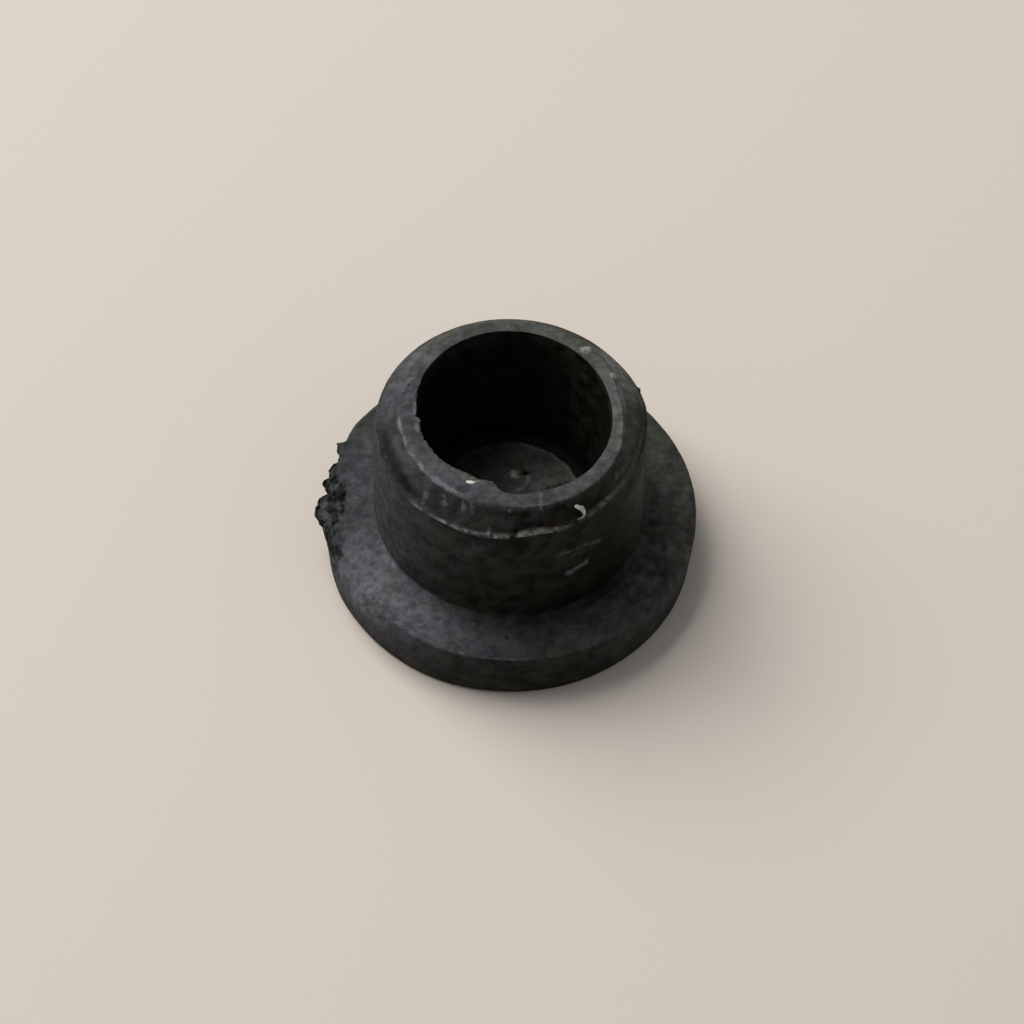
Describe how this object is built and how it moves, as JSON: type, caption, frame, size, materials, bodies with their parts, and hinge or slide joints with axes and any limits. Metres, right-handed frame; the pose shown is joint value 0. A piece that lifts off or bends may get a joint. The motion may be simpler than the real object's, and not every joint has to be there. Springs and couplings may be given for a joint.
{
  "type": "hollow rubber plug",
  "caption": "Black rubber plug with a round flange and a hollow spigot with a tapered nose, open at its lip, that closes a round hole.",
  "frame": {"origin": "centre of the flange's flat underside, which the plug stands on", "axes": "+Z along the spigot, from the flange to the open lip; -X towards the torn stretch of the flange's edge"},
  "size_m": [0.0206, 0.02, 0.0119],
  "materials": {
    "black_rubber": "matte, with a faint grey bloom, dust and scuffs"
  },
  "bodies": {
    "root": {"rubber_plug": "black_rubber"}
  },
  "joints": []
}
